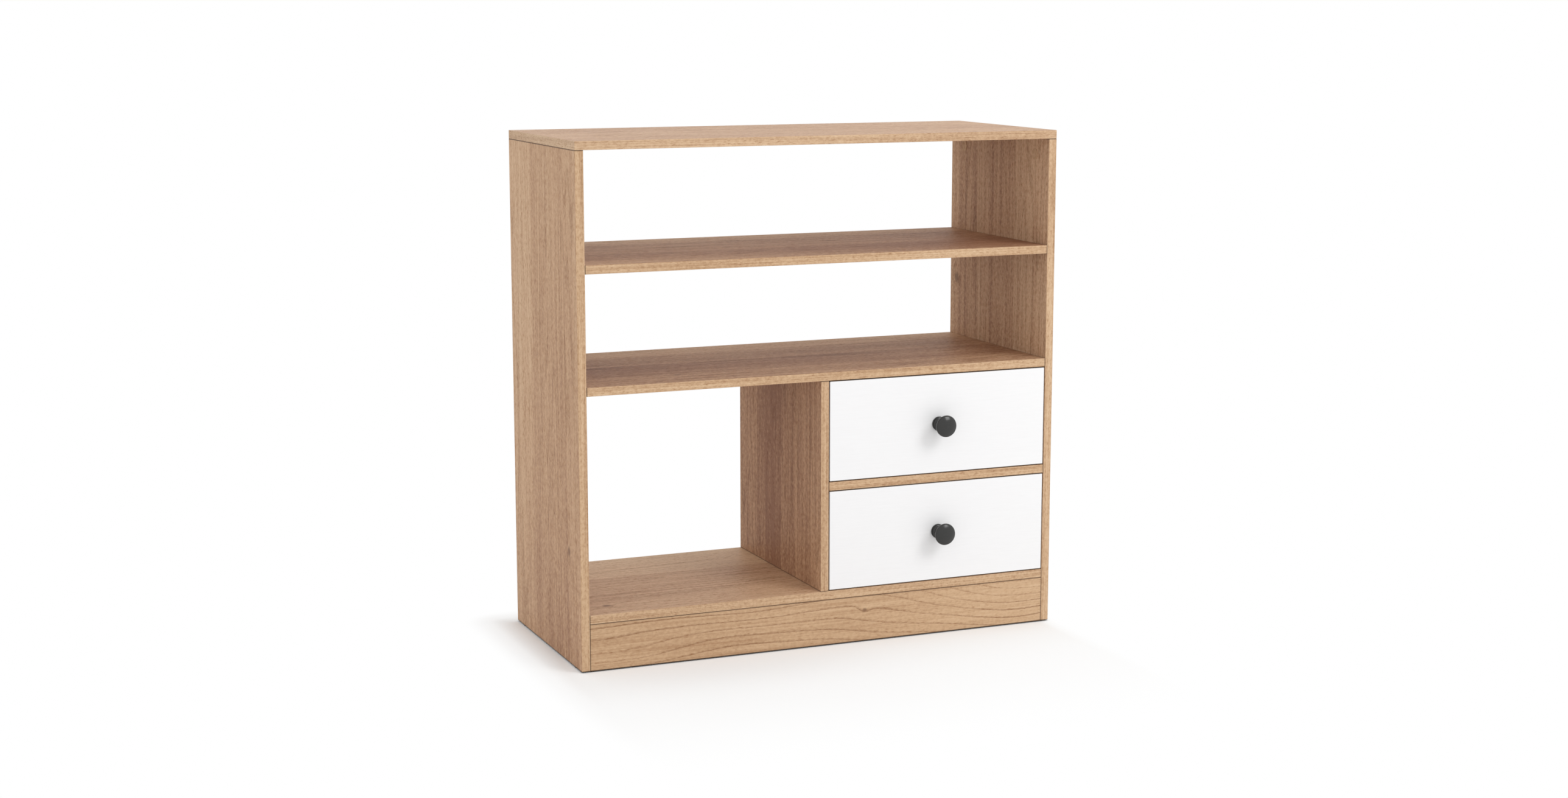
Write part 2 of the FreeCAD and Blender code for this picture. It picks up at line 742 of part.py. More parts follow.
def from_wall(wall, hand, distance):
    return f"{wall} {'+' if hand > 0 else '-'} ({distance})"


screw_depths = ("runner_screw_from_end", "runner_length - runner_screw_from_end")


def cabinet_channel(label, wall_board, wall_face, floor, screws):
    """The channel on a cabinet wall, with the stud of its front roller."""
    hand = face_sign(wall_face)
    wall = wall_board.face_at(wall_face)
    rise = f"{floor} + runner_rise"
    inner = "channel_height - runner_steel"
    channel = Runner(label, (wall, "channel_y", rise), hand, [
        ("0", "0"), ("channel_width", "0"),
        ("channel_width", "runner_steel"), ("runner_steel", "runner_steel"),
        ("runner_steel", inner), ("channel_width", inner),
        ("channel_width", "channel_height"), ("0", "channel_height"),
    ])
    notch = ("channel_width - runner_steel", "2 * roller_end")
    channel.flange_cut(("runner_steel", "0"), notch, "0")
    spot = ("roller_end", "front_axle_rise")
    far = "roller_stand_off + roller_width"
    channel.stud("axle_shoulder", spot, "axle_head", "0", "roller_stand_off - axle_clearance")
    channel.stud("axle", spot, "axle_diameter", "0", far)
    channel.stud("axle_head", spot, "axle_head", f"{far} - axle_head_height", "axle_head_height")
    spots = [(depth, "channel_height / 2") for depth in screw_depths]
    channel.screw_holes(spots, "0")
    places = [(wall, f"channel_y + {depth}", f"{rise} + {height}") for depth, height in spots]
    wall_board.drill(wall_face, places, "runner_screw_diameter", "runner_screw_length - runner_steel")
    for place in places:
        tip = (from_wall(wall, -hand, "runner_screw_length - runner_steel"), place[1], place[2])
        screws.add_pin(runner_screw, tip, wall_face)


def drawer_runner(label, wall_board, wall_face, floor, box_side, screws):
    """The rail under a drawer side, with the stud of its rear roller."""
    hand = face_sign(wall_face)
    wall = wall_board.face_at(wall_face)
    rise = f"{floor} + runner_rise - rail_drop"
    upper = "flange_top + rail_drop"
    under = f"{upper} - runner_steel"
    web = "runner_gap - runner_steel"
    lip = "runner_gap + lip_width"
    rail = Runner(label, (wall, "box_front", rise), hand, [
        (web, "0"), (lip, "0"),
        (lip, "runner_steel"), ("runner_gap", "runner_steel"),
        ("runner_gap", upper), ("roller_stand_off", upper),
        ("roller_stand_off", under), (web, under),
    ])
    rear = "runner_length - 2 * roller_end"
    rail.flange_cut(("roller_stand_off", rear), (f"{web} - roller_stand_off", "2 * roller_end"), under)
    spot = ("runner_length - roller_end", "rear_axle_rise + rail_drop")
    near = "roller_stand_off + roller_width + axle_clearance"
    rail.stud("axle_shoulder", spot, "axle_head", near, f"runner_gap - ({near})")
    rail.stud("axle", spot, "axle_diameter", "roller_stand_off", "runner_gap - roller_stand_off")
    rail.stud("axle_head", spot, "axle_head", "roller_stand_off", "axle_head_height")
    spots = [(depth, "channel_height / 2 + rail_drop") for depth in screw_depths]
    rail.screw_holes(spots, web)
    side_face = opposite(wall_face)
    seat = box_side.face_at(side_face)
    places = [(seat, f"box_front + {depth}", f"{rise} + {height}") for depth, height in spots]
    box_side.drill(side_face, places, "runner_screw_diameter", "runner_screw_length - runner_steel")
    for place in places:
        tip = (from_wall(seat, hand, "runner_screw_length - runner_steel"), place[1], place[2])
        screws.add_pin(runner_screw, tip, side_face)


def roller(label, wall_board, wall_face, depth, rise, head_face):
    """A plastic roller with a bore for its axle and a recess for the axle's head."""
    tyre = turned_pin(label + "_tyre", [("roller_width", "roller_diameter")])
    bore = turned_pin(label + "_bore", [
        ("roller_width - axle_head_height - axle_clearance", "axle_diameter + 2 * axle_clearance"),
        ("axle_head_height + axle_clearance", "axle_head + 2 * axle_clearance"),
    ])
    wheel = doc.addObject("Part::Cut", label)
    wheel.Label = label
    wheel.Base = tyre
    wheel.Tool = bore
    hand = face_sign(wall_face)
    near = "roller_stand_off" if head_face == wall_face else "roller_stand_off + roller_width"
    wheel.Placement = FreeCAD.Placement(V(0, 0, 0), FreeCAD.Rotation(V(0, 0, 1), normal_of(head_face)))
    set_place(wheel, (from_wall(wall_board.face_at(wall_face), hand, near), depth, rise))
    subparts.append(wheel)


# Drawers

def knob(label, place):
    """A turned mushroom knob, with a bore for its screw, whose axis points to the front."""
    body = new_body(label, place)
    body.Placement = FreeCAD.Placement(V(0, 0, 0), FreeCAD.Rotation(V(0, 0, 1), 180))
    set_place(body, place)
    sketch = new_sketch(body, label + "_profile", 2)
    bore = "knob_screw_diameter / 2"
    base = "knob_base_diameter / 2"
    neck = "knob_neck_diameter / 2"
    head = "knob_diameter / 2"
    corners = [
        (bore, "0"),
        (base, "0"),
        (base, "knob_base_height"),
        (neck, "knob_base_height + knob_flare"),
        (neck, "knob_head_start - knob_flare"),
        (f"{neck} + knob_flare", "knob_head_start"),
        (f"{head} - knob_rim_round", "knob_head_start"),
        (head, "knob_rim"),
        ("knob_join_x", "knob_join_y"),
        ("0", "knob_projection"),
        ("0", "knob_screw_depth"),
        (bore, "knob_screw_depth"),
    ]
    # The neck flares out at both ends; the rim, the corner and the dome swell outwards, each into the next.
    arcs = {
        2: ("knob_flare", 1),
        4: ("knob_flare", 1),
        6: ("knob_rim_round", -1),
        7: ("knob_corner_round", -1),
        8: ("knob_dome_round", -1),
    }
    add_outline(sketch, corners, arcs)
    turning = body.newObject("PartDesign::Revolution", label + "_turning")
    turning.Profile = sketch
    turning.ReferenceAxis = (sketch, ["V_Axis"])
    turning.Angle = 360
    subparts.append(body)


def drawer(name, floor, channel_screws):
    """One drawer with its box, knob, runners and rollers, above the floor of its opening."""
    label = name + "_drawer"
    low_z = f"{floor} + box_rise"
    upper_z = f"{low_z} + wall_height"
    front = Board(label + "_front", ("bay_left + drawer_reveal", "front_y", f"{floor} + drawer_reveal"),
                  ("bay_width - 2 * drawer_reveal", "board", "opening_height - 2 * drawer_reveal"), 1)
    side_size = ("drawer_board", "box_length", "wall_height")
    left = Board(label + "_left_side", ("box_left", "box_front", low_z), side_size, 0)
    right = Board(label + "_right_side", ("box_inner_right", "box_front", low_z), side_size, 0)
    back = Board(label + "_back", ("box_inner_left", "box_back - drawer_board", low_z),
                 ("box_width - 2 * drawer_board", "drawer_board", "wall_height"), 1)

    box_fixings = Fixings(label + "_", drawer_kit)
    back_screws = Group(label + "_back_screws")
    for side, outer in ((left, "left"), (right, "right")):
        box_fixings.add_cams(side, "front", front, outer, [f"{upper_z} - small_cam_drop"])
        box_fixings.add_dowels(side, "front", front, [f"{low_z} + small_dowel_rise"])
        seat = side.face_at(outer)
        inner = opposite(outer)
        spots = [(seat, back.middle(), height) for height in
                 (f"{low_z} + back_screw_from_edge", f"{upper_z} - back_screw_from_edge")]
        side.drill(outer, spots, "back_screw_diameter", "drawer_board")
        side.drill(outer, spots, "back_screw_head", "back_screw_head_height")
        back.drill(outer, spots, "back_screw_diameter", "back_screw_length - drawer_board")
        for spot in spots:
            tip = (shifted(seat, inner, "back_screw_length"), spot[1], spot[2])
            back_screws.add_pin(back_screw, tip, outer)
    box_fixings.close()
    back_screws.close()

    groove_low = ("box_inner_left - bottom_groove", "box_front", f"{low_z} + bottom_rise")
    groove_high = ("box_inner_right + bottom_groove", "box_back - drawer_board + bottom_groove",
                   f"{low_z} + bottom_rise + bottom_thickness + panel_clearance")
    for board, face in ((left, "right"), (right, "left"), (front, "back")):
        board.groove(face, "bottom_groove", groove_low, groove_high, "bottom_groove")
    back.groove("front", "bottom_groove", ("box_inner_left", "0", groove_low[2]),
                ("box_inner_right", "0", groove_high[2]), "bottom_groove")
    bottom = doc.addObject("Part::Box", label + "_bottom")
    bottom.Label = label + "_bottom"
    edge = "bottom_groove - panel_clearance"
    bottom.setExpression("Length", formula(f"box_inner_right - box_inner_left + 2 * ({edge})"))
    bottom.setExpression("Width", formula(f"box_length - drawer_board + 2 * ({edge})"))
    bottom.setExpression("Height", formula("bottom_thickness"))
    set_place(bottom, (f"box_inner_left - ({edge})", f"box_front - ({edge})", groove_low[2]))
    subparts.append(bottom)

    knob_height = f"{floor} + knob_rise"
    hole = ("knob_x", "front_y", knob_height)
    knob(label + "_knob", hole)
    front.drill("front", [hole], "knob_screw_diameter", "board")
    screw = Group(label + "_knob_screw")
    screw.add_pin(knob_screw, ("knob_x", "front_y - knob_screw_depth", knob_height), "back")
    screw.close()

    runner_screws = Group(label + "_runner_screws")
    front_depth = "channel_y + roller_end"
    front_rise = f"{floor} + runner_rise + front_axle_rise"
    rear_depth = "box_front + runner_length - roller_end"
    rear_rise = f"{floor} + runner_rise + rear_axle_rise"
    for hand, wall, face, side in (("left", divider, "right", left), ("right", right_side, "left", right)):
        cabinet_channel(f"{name}_{hand}_channel", wall, face, floor, channel_screws)
        drawer_runner(f"{label}_{hand}_runner", wall, face, floor, side, runner_screws)
        roller(f"{name}_{hand}_front_roller", wall, face, front_depth, front_rise, face)
        roller(f"{name}_{hand}_rear_roller", wall, face, rear_depth, rear_rise, opposite(face))
    runner_screws.close()


channel_screws = Group("channel_screws")
drawer("upper", "upper_floor", channel_screws)
drawer("lower", "bay_floor", channel_screws)
channel_screws.close()

for board in boards:
    board.drill_all()

# Checks before writing

doc.recompute()
for item in doc.Objects:
    if "Invalid" in item.State or "Error" in item.State:
        raise RuntimeError(f"{item.Label} failed: {item.State}")
    if item.TypeId == "PartDesign::Pocket":
        removed = item.BaseFeature.Shape.Volume - item.Shape.Volume
        if removed <= 0:
            raise RuntimeError(f"{item.Label} cuts nothing")
for piece in subparts:
    if piece.Shape.isNull() or not piece.Shape.isValid():
        raise RuntimeError(f"{piece.Label} has no valid shape")

os.makedirs("parts", exist_ok=True)
for piece in subparts:
    piece.Shape.exportStep(f"parts/{piece.Label}.step")
    box = piece.Shape.BoundBox
    print(f"{piece.Label}: {len(piece.Shape.Solids)} solids, "
          f"{box.XLength:.1f} x {box.YLength:.1f} x {box.ZLength:.1f} mm")
print(len(subparts), "sub-parts")
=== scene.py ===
import math

import bpy
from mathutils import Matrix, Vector


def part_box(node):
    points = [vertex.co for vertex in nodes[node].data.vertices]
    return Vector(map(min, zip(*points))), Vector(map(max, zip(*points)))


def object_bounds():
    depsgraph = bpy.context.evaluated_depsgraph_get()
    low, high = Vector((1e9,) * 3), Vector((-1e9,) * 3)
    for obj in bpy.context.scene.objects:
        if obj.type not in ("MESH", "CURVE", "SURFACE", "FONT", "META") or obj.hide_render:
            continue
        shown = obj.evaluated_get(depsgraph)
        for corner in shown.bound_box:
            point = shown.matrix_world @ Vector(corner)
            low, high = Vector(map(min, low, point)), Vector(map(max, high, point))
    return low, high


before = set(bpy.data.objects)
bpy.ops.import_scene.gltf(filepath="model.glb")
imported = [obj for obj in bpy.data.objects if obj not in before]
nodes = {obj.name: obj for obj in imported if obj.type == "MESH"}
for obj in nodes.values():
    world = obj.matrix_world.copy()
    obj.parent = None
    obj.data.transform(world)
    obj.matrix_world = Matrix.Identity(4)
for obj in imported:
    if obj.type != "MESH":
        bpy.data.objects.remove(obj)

cad_low, cad_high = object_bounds()


# Colours, given as the 0 to 255 levels that they show on a screen

def colour(red, green, blue):
    """The linear colour that a shader takes, by the sRGB curve, with full cover."""
    def linear(level):
        share = level / 255
        return share / 12.92 if share <= 0.04045 else ((share + 0.055) / 1.055) ** 2.4
    return (linear(red), linear(green), linear(blue), 1.0)


WHITE = colour(255, 255, 255)


# Node helpers

AXES = "xyz"

# The middle of a noise pattern, and the height in metres of the deepest relief
MIDDLE = 0.5
BUMP_DISTANCE = 0.0002

# Places of the sockets for colours on a Mix node
MIX_FACTOR = 0
MIX_FIRST = 6
MIX_SECOND = 7
MIX_RESULT = 2


class Shader:
    """The node tree of one material, with short ways to add nodes to it.

    Place is metres in the object's frame at rest, and normal is the direction of the surface there.
    """

    def __init__(self, name):
        self.material = bpy.data.materials.new(name)
        self.material.use_nodes = True
        self.tree = self.material.node_tree
        self.tree.nodes.clear()
        self.output = self.add("ShaderNodeOutputMaterial")
        coordinates = self.add("ShaderNodeTexCoord")
        self.place = coordinates.outputs["Object"]
        self.normal = coordinates.outputs["Normal"]

    def add(self, kind, inputs=None, **settings):
        node = self.tree.nodes.new(kind)
        for key, setting in settings.items():
            setattr(node, key, setting)
        for key, source in (inputs or {}).items():
            self.feed(node.inputs[key], source)
        return node

    def feed(self, socket, source):
        if isinstance(source, bpy.types.NodeSocket):
            self.tree.links.new(source, socket)
        else:
            socket.default_value = source

    def math(self, operation, *values, clamp=False):
        node = self.add("ShaderNodeMath", dict(enumerate(values)), operation=operation, use_clamp=clamp)
        return node.outputs[0]

    def largest(self, first, *others):
        for other in others:
            first = self.math("MAXIMUM", first, other)
        return first

    def between(self, factor, first, second):
        """A number that goes from first to second with factor."""
        step = self.math("SUBTRACT", second, first)
        return self.math("MULTIPLY_ADD", step, factor, first)

    def ease(self, number, start, end, low=0.0, high=1.0):
        """A smooth step from low, where number is start, to high, where it is end."""
        inputs = {"Value": number, "From Min": start, "From Max": end, "To Min": low, "To Max": high}
        return self.add("ShaderNodeMapRange", inputs, interpolation_type="SMOOTHSTEP").outputs["Result"]

    def vary(self, total, pattern, share):
        """A total that a share of a pattern takes up and down; the pattern lies about 0.5."""
        return self.math("MULTIPLY_ADD", self.math("SUBTRACT", pattern, MIDDLE), share, total)

    def vector(self, x, y, z):
        return self.add("ShaderNodeCombineXYZ", {"X": x, "Y": y, "Z": z}).outputs["Vector"]

    def parts(self, vector):
        node = self.add("ShaderNodeSeparateXYZ", {"Vector": vector})
        return {axis: node.outputs[axis.upper()] for axis in AXES}

    def noise(self, vector, scales, detail=2.0, roughness=0.5, distortion=0.0):
        """A random pattern that lies about 0.5, with its waves per metre in each direction as scales."""
        stretched = self.add("ShaderNodeVectorMath", {0: vector, 1: scales}, operation="MULTIPLY")
        inputs = {
            "Vector": stretched.outputs["Vector"], "Scale": 1.0, "Detail": detail,
            "Roughness": roughness, "Distortion": distortion,
        }
        return self.add("ShaderNodeTexNoise", inputs).outputs["Fac"]

    def mix(self, factor, first, second, blend_type="MIX"):
        node = self.add("ShaderNodeMix", data_type="RGBA", blend_type=blend_type)
        self.feed(node.inputs[MIX_FACTOR], factor)
        self.feed(node.inputs[MIX_FIRST], first)
        self.feed(node.inputs[MIX_SECOND], second)
        return node.outputs[MIX_RESULT]

    def ramp(self, factor, stops):
        """A colour from a list of (position, colour)."""
        node = self.add("ShaderNodeValToRGB", {"Fac": factor})
        elements = node.color_ramp.elements
        while len(elements) < len(stops):
            elements.new(MIDDLE)
        for element, (position, shade) in zip(elements, stops):
            element.position = position
            element.color = shade
        return node.outputs["Color"]

    def bump(self, height, strength):
        inputs = {"Height": height, "Strength": strength, "Distance": BUMP_DISTANCE}
        return self.add("ShaderNodeBump", inputs).outputs["Normal"]

    def finish(self, **inputs):
        """Ends the tree in one Principled shader; the inputs' names have _ for a space."""
        named = {name.replace("_", " "): source for name, source in inputs.items()}
        surface = self.add("ShaderNodeBsdfPrincipled", named)
        self.tree.links.new(surface.outputs["BSDF"], self.output.inputs["Surface"])
        return self.material


def dress(node, material):
    """Gives a whole CAD node one material."""
    slots = nodes[node].material_slots
    for slot in slots:
        slot.material = material
    if not slots:
        nodes[node].data.materials.append(material)


# Faces of the oak-look boards

# A face looks along an axis where that part of its normal is more than this
FACE_TILT = 0.7

# The step in the noise from a board's wide faces to its bands, and the width of the dark joint lines, partly
# painted shade
BAND_LAYER = 3.7
SEAM_SHADE_WIDTH = 0.0022


def board_axes(node, grain):
    """The axis letters of a board: along its grain, across it, and through its thickness."""
    low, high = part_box(node)
    size = dict(zip(AXES, high - low))
    thick = min(size, key=size.get)
    across = next(axis for axis in AXES if axis not in (grain, thick))
    return grain, across, thick


class BoardFaces:
    """Where a point lies on the faces of one board, for its material.

    Length and width are metres along and across the grain. The edge bands have their grain along the edge, so
    the short ends take theirs across the board. The vector holds both, with a layer of the noise that differs
    from board to board, and from the wide faces to the bands. Edge is 1 on the bands, flat is 1 on the wide
    faces, and the seam shade is 1 at the joints, where the dark line is partly painted shade.
    """

    def __init__(self, shader, node, grain, seed, jointed):
        self.shader = shader
        along, across, thick = board_axes(node, grain)
        place = shader.parts(shader.place)
        normal = shader.parts(shader.normal)
        tilt = {axis: shader.math("ABSOLUTE", normal[axis]) for axis in AXES}
        end = shader.math("GREATER_THAN", tilt[along], FACE_TILT)
        self.edge = shader.math("LESS_THAN", tilt[thick], FACE_TILT)
        self.flat = shader.math("SUBTRACT", 1.0, self.edge)
        self.length = shader.between(end, place[along], place[across])
        self.width = shader.between(self.edge, place[across], place[thick])
        layer = shader.math("MULTIPLY_ADD", self.edge, BAND_LAYER, seed)
        self.vector = shader.vector(self.length, self.width, layer)
        self.seam = self.joint_shade_lines(node, place, jointed)

    def joint_shade_lines(self, node, place, jointed):
        """Painted joint shade: 1 at both ends of the board on each jointed axis, and 0 a seam's width away
        from them.
        """
        shader = self.shader
        low, high = (dict(zip(AXES, corner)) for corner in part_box(node))
        seam = 0.0
        for axis in jointed:
            from_low = shader.math("SUBTRACT", place[axis], low[axis])
            from_high = shader.math("SUBTRACT", high[axis], place[axis])
            nearest = shader.math("MINIMUM", from_low, from_high)
            seam = shader.largest(seam, shader.ease(nearest, SEAM_SHADE_WIDTH, 0.0))
        return seam

    def pick(self, on_flat, on_edge):
        """One number on the wide faces of the board, and another on its edge bands."""
        return self.shader.math("MULTIPLY_ADD", self.edge, on_edge - on_flat, on_flat)


# Print of the oak-look boards

OAK_SHADES = [(0.06, colour(162, 121, 95)), (0.5, colour(203, 166, 133)), (0.94, colour(223, 192, 158))]
BAND_SHADES = [(0.1, colour(168, 130, 97)), (0.5, colour(205, 172, 138)), (0.9, colour(222, 194, 161))]
PORE_TINT = colour(206, 184, 166)
FIGURE_TINT = colour(166, 142, 126)
KNOT_TINT = colour(104, 72, 55)
# The dark joint line, partly the joint and partly painted shade in its crevice
SEAM_SHADE_TINT = colour(74, 55, 44)

# Its patterns, with waves per metre along the grain, across it, and from layer to layer
FIBRES = {"scales": (4.0, 430.0, 1.0), "detail": 4.0, "roughness": 0.6}
FLECKS = {"scales": (120.0, 220.0, 1.0), "detail": 3.0, "roughness": 0.6}
TICKS = {"scales": (160.0, 170.0, 1.0), "detail": 3.0, "roughness": 0.7}
STREAKS = {"scales": (2.2, 85.0, 1.0), "detail": 3.0, "roughness": 0.6}
PATCHES = {"scales": (1.4, 8.0, 1.0)}
DASHES = {"scales": (110.0, 900.0, 1.0), "detail": 3.0, "roughness": 0.65}
RING_PLACES = {"scales": (1.1, 9.0, 2.0)}
CONTOUR = {"detail": 1.5, "roughness": 0.4, "distortion": 0.15}
CONTOUR_LAYERS = 1.0

# The tone of the edge bands, and the shares of the patterns in it
BAND_TONE = 0.45
BAND_PORES = 0.85
BAND_TICKS = 0.7
BAND_FLECKS = 0.25
BAND_FIBRES = 1.1
BAND_PATCHES = 0.15

# Shares that are the same on the wide faces of all boards
FLAT_FIBRES = 0.6
FLAT_PATCHES = 0.35

# Width of each plank and shade step, and limits of the patterns that set rings and pores
STEP_EDGE = 0.0008
RING_RANGE = (0.28, 0.6)
PORE_LIMIT = 0.53
PORE_SOFTNESS = 0.1

# Knots are longer than wide, with a dark heart, and a halo that lifts and darkens the rings round them
KNOT_LENGTH = 1.3
HEART_REACH = 1.0
HEART_RANGE = (0.3, 0.95)
HEART_COVER = 0.65
HALO_REACH = 6.0
HALO_LIFT = 0.03
HALO_DEPTH = 0.15

# Gloss and relief
OAK_ROUGHNESS = 0.52
FIBRE_ROUGHNESS = 0.12
PORE_ROUGHNESS = 0.14
FIBRE_HEIGHT = 0.5
OAK_BUMP = 0.25


class Grain:
    """The print on one board.

    Tone is how light its wide faces are; it differs from board to board partly as the print does and partly
    as painted shade and light. Shade slope is how much lighter they get per metre along the grain, which is
    painted shade along the board. Each plank and shade step starts at a place across the board, with a step
    of tone; the steps are partly the print's planks and partly painted shade and reflection. Shades are the
    colours from dark to light, and sheen is the strength of the gloss. Mottle, streaks and pores are the
    shares of short flecks, long stripes and dark dashes, and gather draws the dashes to the growth rings.
    Figure is how dark the rings are, and line is the share of each that is a line. Rings are the contour
    lines of a slow pattern, so many to each unit of it. Waves are its waves per metre along and across the
    board, drift tilts it across the board, and jag roughens it. A knot has a place along and across the
    board, and a radius.
    """

    def __init__(self, tone=0.5, slope=0.0, plank_and_shade_steps=(), shades=OAK_SHADES, sheen=0.1,
                 mottle=0.75, streaks=0.4, pores=1.0, gather=0.05, figure=0.25, line=0.45,
                 rings=20.0, waves=(0.7, 13.0), drift=0.0, jag=0.006, knots=()):
        self.tone = tone
        self.slope = slope
        self.plank_and_shade_steps = plank_and_shade_steps
        self.shades = shades
        self.sheen = sheen
        self.mottle = mottle
        self.streaks = streaks
        self.pores = pores
        self.gather = gather
        self.figure = figure
        self.line = line
        self.rings = rings
        self.waves = waves
        self.drift = drift
        self.jag = jag
        self.knots = knots


def knot_mask(shader, faces, knots, reach):
    """1 at the middle of each knot, which fades with the square of the distance in radii, over the reach."""
    mask = 0.0
    for at_length, at_width, radius in knots:
        along = shader.math("SUBTRACT", faces.length, at_length)
        along = shader.math("DIVIDE", along, radius * KNOT_LENGTH)
        across = shader.math("SUBTRACT", faces.width, at_width)
        across = shader.math("DIVIDE", across, radius)
        square = shader.math("MULTIPLY", along, along)
        square = shader.math("MULTIPLY_ADD", across, across, square)
        near = shader.math("EXPONENT", shader.math("DIVIDE", square, -reach))
        mask = shader.largest(mask, shader.math("MULTIPLY", near, faces.flat))
    return mask


def plain_tone(shader, faces, grain, fibres, flecks):
    """How light the print is, with painted shade in its slope and steps, before its rings, pores, knots and
    joints.
    """
    ticks = shader.noise(faces.vector, **TICKS)
    streaks = shader.noise(faces.vector, **STREAKS)
    patches = shader.noise(faces.vector, **PATCHES)
    tone = faces.pick(grain.tone, BAND_TONE)
    tone = shader.vary(tone, fibres, faces.pick(FLAT_FIBRES, BAND_FIBRES))
    tone = shader.vary(tone, ticks, faces.pick(grain.mottle, BAND_TICKS))
    tone = shader.vary(tone, flecks, faces.pick(grain.mottle, BAND_FLECKS))
    tone = shader.vary(tone, streaks, grain.streaks)
    tone = shader.vary(tone, patches, faces.pick(FLAT_PATCHES, BAND_PATCHES))
    # Painted shade: the tone gets lighter or darker along the board as the light falls off
    if grain.slope:
        tone = shader.math("MULTIPLY_ADD", faces.length, faces.pick(grain.slope, 0.0), tone)
    # Plank steps, partly the print's planks and partly painted shade and reflection
    for start, step in grain.plank_and_shade_steps:
        beyond = shader.ease(faces.width, start, start + STEP_EDGE)
        beyond = shader.math("MULTIPLY", beyond, faces.flat)
        tone = shader.math("MULTIPLY_ADD", beyond, step, tone)
    return tone


def ring_lines(shader, faces, grain, flecks, halo):
    """1 where each growth ring starts, and 0 where its line ends; the rings run round the knots."""
    contour = shader.noise(faces.vector, (*grain.waves, CONTOUR_LAYERS), **CONTOUR)
    contour = shader.math("MULTIPLY_ADD", faces.width, grain.drift, contour)
    contour = shader.vary(contour, flecks, grain.jag)
    contour = shader.math("MULTIPLY_ADD", halo, HALO_LIFT, contour)
    turn = shader.math("FRACT", shader.math("MULTIPLY", contour, grain.rings))
    return shader.math("MULTIPLY", shader.ease(turn, grain.line, 0.0), faces.flat)


def ring_depth(shader, faces, grain, halo):
    """How strongly the rings show, which differs from place to place and grows round the knots."""
    presence = shader.ease(shader.noise(faces.vector, **RING_PLACES), *RING_RANGE)
    depth = shader.math("MULTIPLY", presence, grain.figure)
    return shader.math("MULTIPLY_ADD", halo, HALO_DEPTH, depth)


def open_pores(shader, faces, grain, lines):
    """1 in the pores, which are short dashes that gather on the lines of the rings."""
    dashes = shader.noise(faces.vector, **DASHES)
    limit = shader.math("MULTIPLY_ADD", lines, -grain.gather, PORE_LIMIT + grain.gather / 2)
    pore = shader.ease(shader.math("SUBTRACT", dashes, limit), 0.0, PORE_SOFTNESS)
    return shader.math("MULTIPLY", pore, faces.pick(grain.pores, BAND_PORES))


def oak(node, along, seed, jointed, grain):
    """Oak-look foil: planks, growth rings, fibres, flecks, ticks, streaks, pores, knots, painted shade and
    dark joints.
    """
    shader = Shader("oak_" + node)
    faces = BoardFaces(shader, node, along, seed, jointed)
    fibres = shader.noise(faces.vector, **FIBRES)
    flecks = shader.noise(faces.vector, **FLECKS)
    heart = knot_mask(shader, faces, grain.knots, HEART_REACH)
    halo = knot_mask(shader, faces, grain.knots, HALO_REACH)
    lines = ring_lines(shader, faces, grain, flecks, halo)
    ring = shader.math("MULTIPLY", lines, ring_depth(shader, faces, grain, halo), clamp=True)
    pore = open_pores(shader, faces, grain, lines)
    tone = plain_tone(shader, faces, grain, fibres, flecks)

    shade = shader.mix(faces.edge, shader.ramp(tone, grain.shades), shader.ramp(tone, BAND_SHADES))
    shade = shader.mix(ring, shade, FIGURE_TINT, "MULTIPLY")
    shade = shader.mix(pore, shade, PORE_TINT, "MULTIPLY")
    if grain.knots:
        shade = shader.mix(shader.ease(heart, *HEART_RANGE, high=HEART_COVER), shade, KNOT_TINT)
    # Dark joint lines, partly the joint and partly painted shade in its crevice
    if jointed:
        shade = shader.mix(faces.seam, shade, SEAM_SHADE_TINT)

    rough = shader.vary(OAK_ROUGHNESS, fibres, FIBRE_ROUGHNESS)
    rough = shader.math("MULTIPLY_ADD", pore, PORE_ROUGHNESS, rough)
    height = shader.math("SUBTRACT", shader.math("MULTIPLY", fibres, FIBRE_HEIGHT), pore)
    normal = shader.bump(height, OAK_BUMP)
    return shader.finish(Base_Color=shade, Roughness=rough, Specular_IOR_Level=grain.sheen, Normal=normal)


# The print of each oak-look board, with painted shade and light in its tones, slopes and steps

plain_grain = Grain()
cover_grain = Grain(tone=0.4)
top_grain = Grain(tone=0.46, sheen=0.3, figure=0.2)
# The left panel's slope of tone is painted shade, darker towards the floor
left_grain = Grain(
    tone=0.33, slope=0.24, mottle=0.6, streaks=0.6,
    plank_and_shade_steps=[(0.085, 0.12)],
    knots=[(0.199, -0.109, 0.009)])
right_grain = Grain(
    tone=0.61, sheen=0.16, mottle=0.95, streaks=1.1,
    plank_and_shade_steps=[(-0.047, -0.17), (0.055, 0.14), (0.1, -0.14)],
    knots=[(0.6, 0.183, 0.011)])
divider_grain = Grain(
    tone=0.37, sheen=0.15, streaks=0.7,
    plank_and_shade_steps=[(-0.05, -0.11), (0.01, -0.22), (0.085, 0.13), (0.125, 0.14)])
# The upper shelf's slope of tone is painted shade, darker towards the right panel
upper_grain = Grain(
    tone=0.3, slope=-0.4, streaks=0.6,
    plank_and_shade_steps=[(-0.12, -0.14), (-0.015, 0.21), (0.135, 0.19)])
middle_grain = Grain(
    tone=0.35, streaks=0.6,
    plank_and_shade_steps=[(-0.085, -0.16), (0.03, 0.2), (0.135, 0.19)],
    knots=[(-0.247, -0.096, 0.007)])
# The bottom shelf's lighter rear step is partly painted reflection
bottom_grain = Grain(
    tone=0.58, sheen=0.19, mottle=0.55, streaks=0.6,
    plank_and_shade_steps=[(0.072, 0.34)],
    knots=[(-0.386, -0.1155, 0.008)])
PLINTH_GRAIN = {
    "tone": 0.46, "shades": BAND_SHADES, "mottle": 0.34, "pores": 0.75, "gather": 0.12, "figure": 0.85,
    "line": 0.22, "rings": 13.0, "waves": (1.5, 4.5), "drift": 6.0, "jag": 0.014,
}
front_grain = Grain(**PLINTH_GRAIN, slope=0.11, knots=[(0.078, 0.058, 0.0045)])
rear_grain = Grain(**PLINTH_GRAIN)
